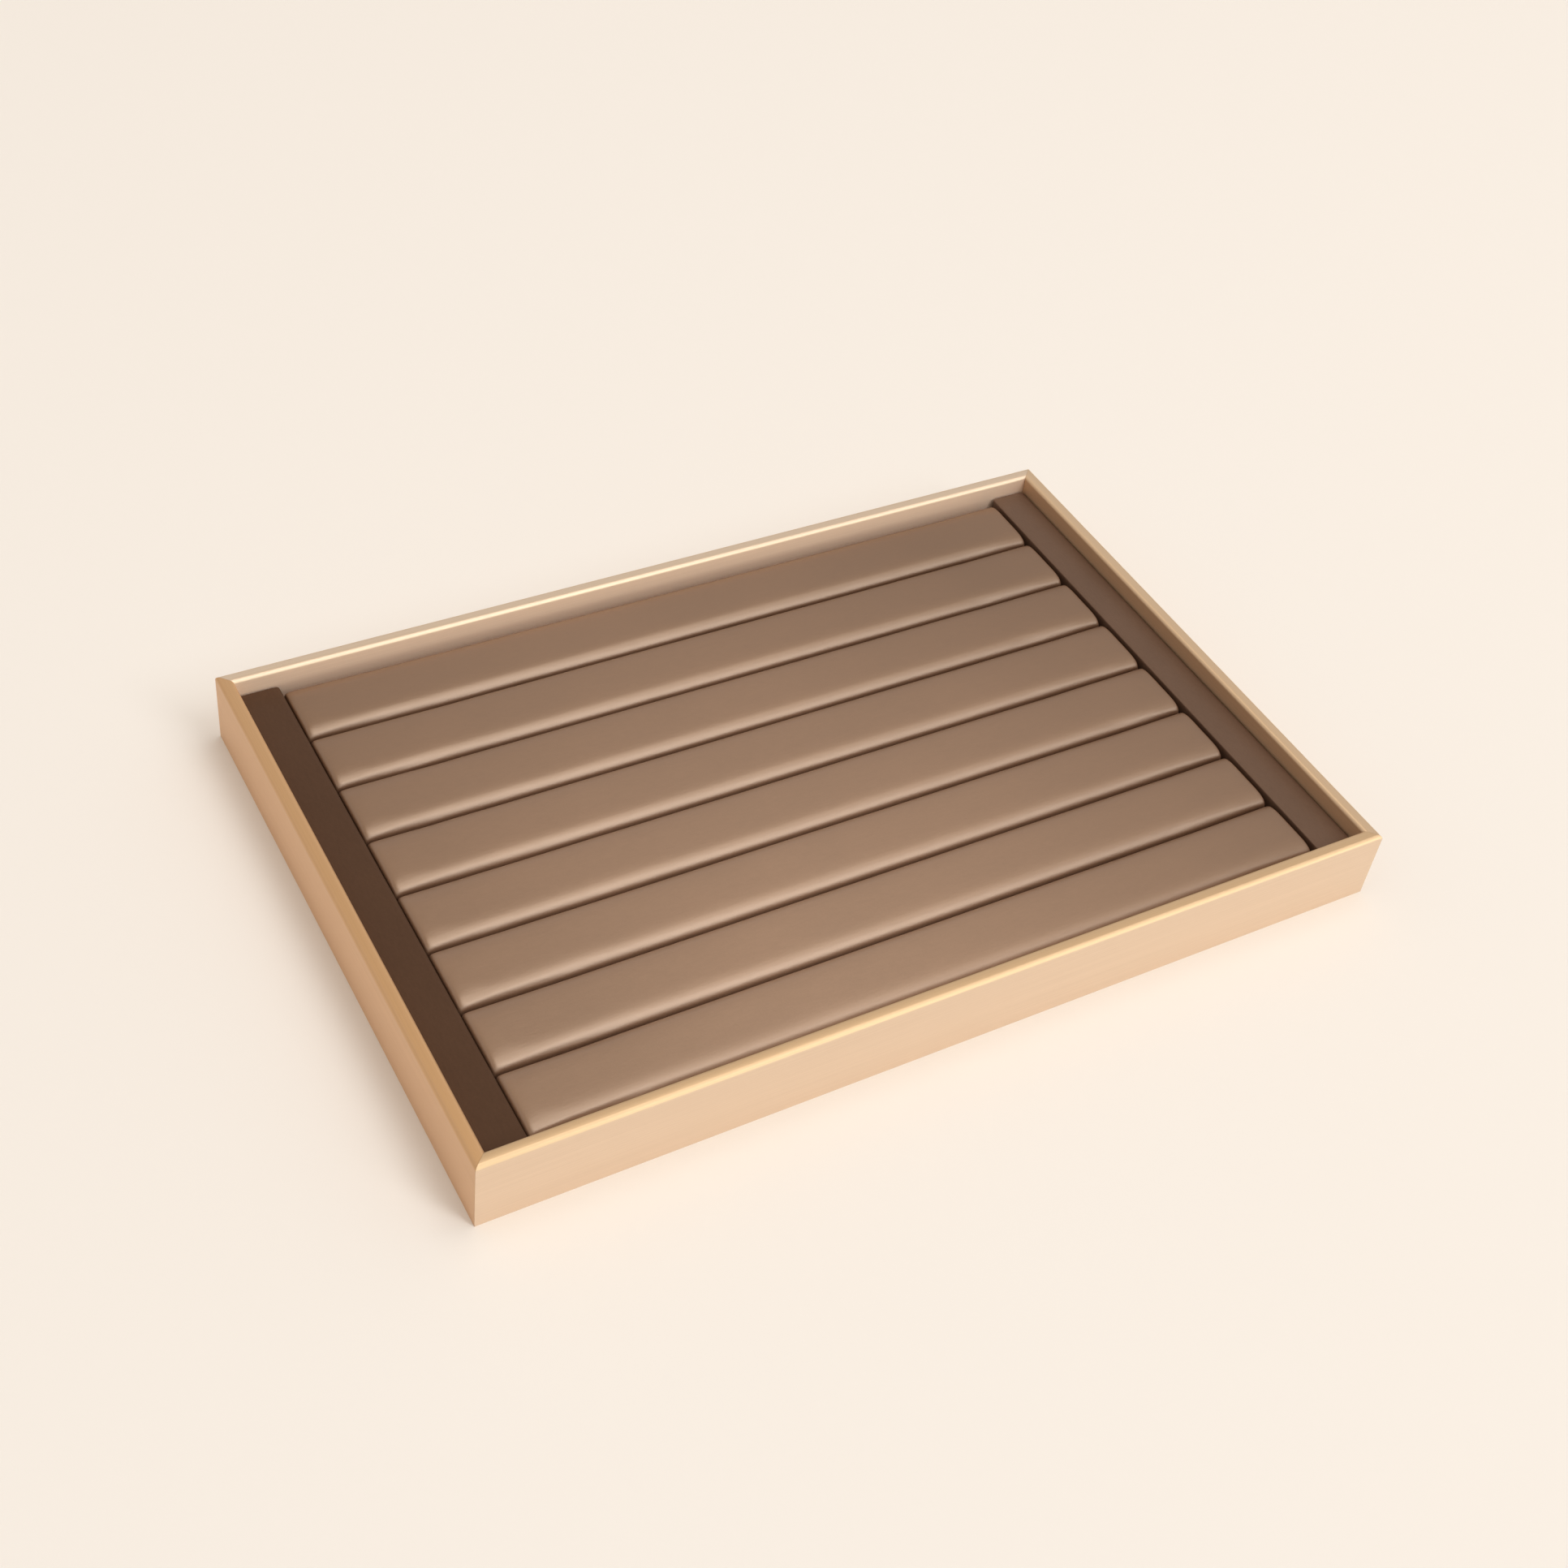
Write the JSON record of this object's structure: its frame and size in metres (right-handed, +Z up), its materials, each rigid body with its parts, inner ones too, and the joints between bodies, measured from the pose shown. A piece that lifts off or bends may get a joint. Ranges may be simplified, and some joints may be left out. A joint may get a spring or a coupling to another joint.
{
  "type": "jewelry display tray",
  "caption": "Shallow rectangular ring tray: a mitred satin-metal frame with a lift-out insert of padded, cloth-wrapped bars and narrow slots between them for rings.",
  "frame": {"origin": "middle of the underside, on the surface that the tray stands on", "axes": "+X along the bars, the tray's length; -Y towards the front; +Z up, out of the tray's open top"},
  "size_m": [0.3, 0.2, 0.025],
  "materials": {
    "champagne_metal": "satin champagne-gold anodised",
    "key_zinc": "plain die-cast",
    "fibreboard": "matte fibreboard",
    "felt": "matte pressed felt",
    "insert_board": "matte board",
    "bar_microfibre": "taupe napped microfibre with a soft sheen",
    "strip_microfibre": "dark taupe napped microfibre",
    "foam": "open foam",
    "strip_board": "matte board"
  },
  "bodies": {
    "frame": {"front_rail": "champagne_metal", "right_rail": "champagne_metal", "back_rail": "champagne_metal", "left_rail": "champagne_metal", "corner_key_front_left": "key_zinc", "corner_key_front_right": "key_zinc", "corner_key_back_left": "key_zinc", "corner_key_back_right": "key_zinc", "base_panel": "fibreboard", "base_felt": "felt"},
    "insert": {"insert_board": "insert_board", "ring_bar_cover_1": "bar_microfibre", "ring_bar_cover_2": "bar_microfibre", "ring_bar_cover_3": "bar_microfibre", "ring_bar_cover_4": "bar_microfibre", "ring_bar_cover_5": "bar_microfibre", "ring_bar_cover_6": "bar_microfibre", "ring_bar_cover_7": "bar_microfibre", "ring_bar_cover_8": "bar_microfibre", "ring_bar_core_1": "foam", "ring_bar_core_2": "foam", "ring_bar_core_3": "foam", "ring_bar_core_4": "foam", "ring_bar_core_5": "foam", "ring_bar_core_6": "foam", "ring_bar_core_7": "foam", "ring_bar_core_8": "foam", "end_strip_cover_left": "strip_microfibre", "end_strip_cover_right": "strip_microfibre", "end_strip_core_left": "strip_board", "end_strip_core_right": "strip_board"}
  },
  "joints": [
    {"name": "insert_lift", "type": "slide", "parent": "frame", "child": "insert", "axis": [0, 0, 1], "range_m": [0, 0.03]}
  ]
}
